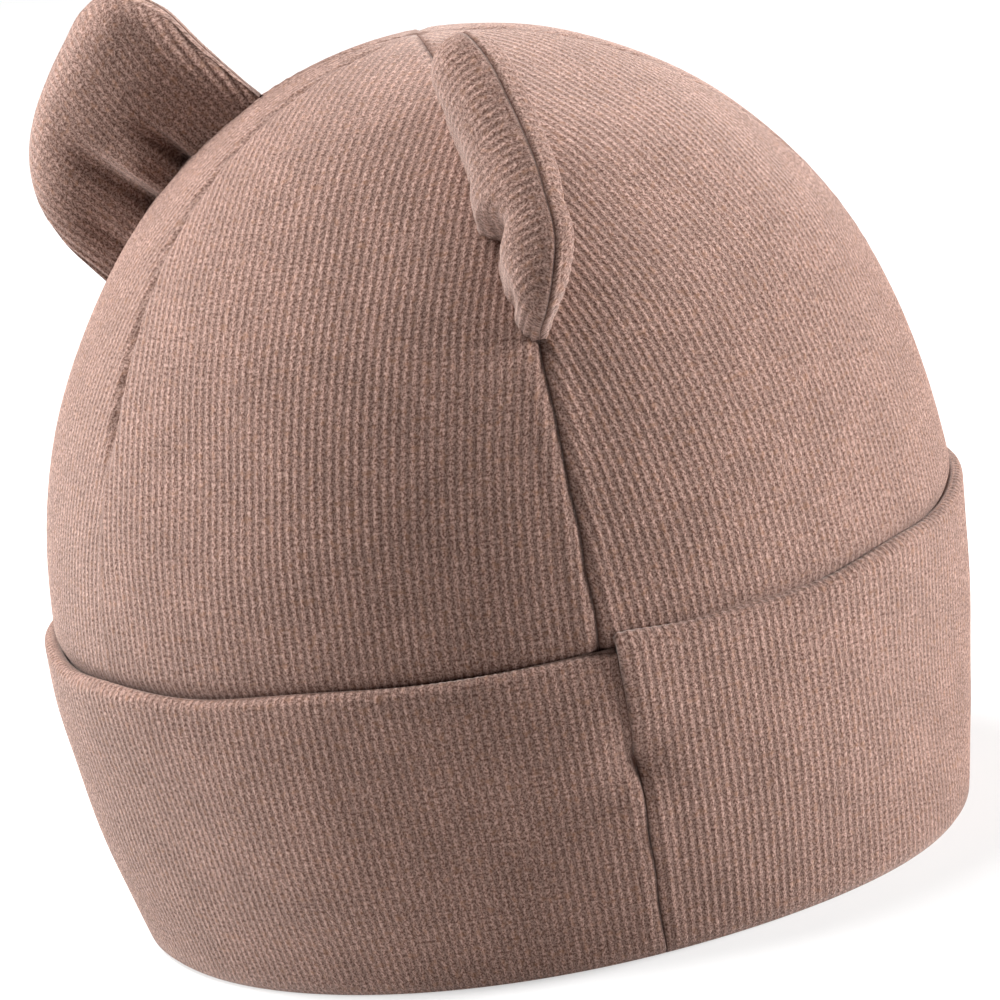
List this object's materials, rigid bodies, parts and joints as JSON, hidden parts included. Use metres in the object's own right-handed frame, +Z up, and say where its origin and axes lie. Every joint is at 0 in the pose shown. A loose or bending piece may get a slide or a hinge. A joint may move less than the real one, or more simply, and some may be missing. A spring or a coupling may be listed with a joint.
{
  "type": "baby hat with ears",
  "caption": "Baby's rib-knit beanie with a domed crown, a turned-up cuff and round padded ears, hollow inside and open at its folded rim.",
  "frame": {"origin": "centre of the folded rim, on the surface that the hat rests on", "axes": "+Z up through the top of the crown, -Y towards the front, midway between the ears"},
  "size_m": [0.1517, 0.1516, 0.1519],
  "materials": {
    "rib_knit": "matt heathered dusty pink-brown rib jersey with fine vertical ribs"
  },
  "bodies": {
    "root": {"crown_front": "rib_knit", "crown_back": "rib_knit", "cuff_front": "rib_knit", "cuff_back": "rib_knit", "ear_right_front": "rib_knit", "ear_right_back": "rib_knit", "ear_left_front": "rib_knit", "ear_left_back": "rib_knit"}
  },
  "joints": []
}
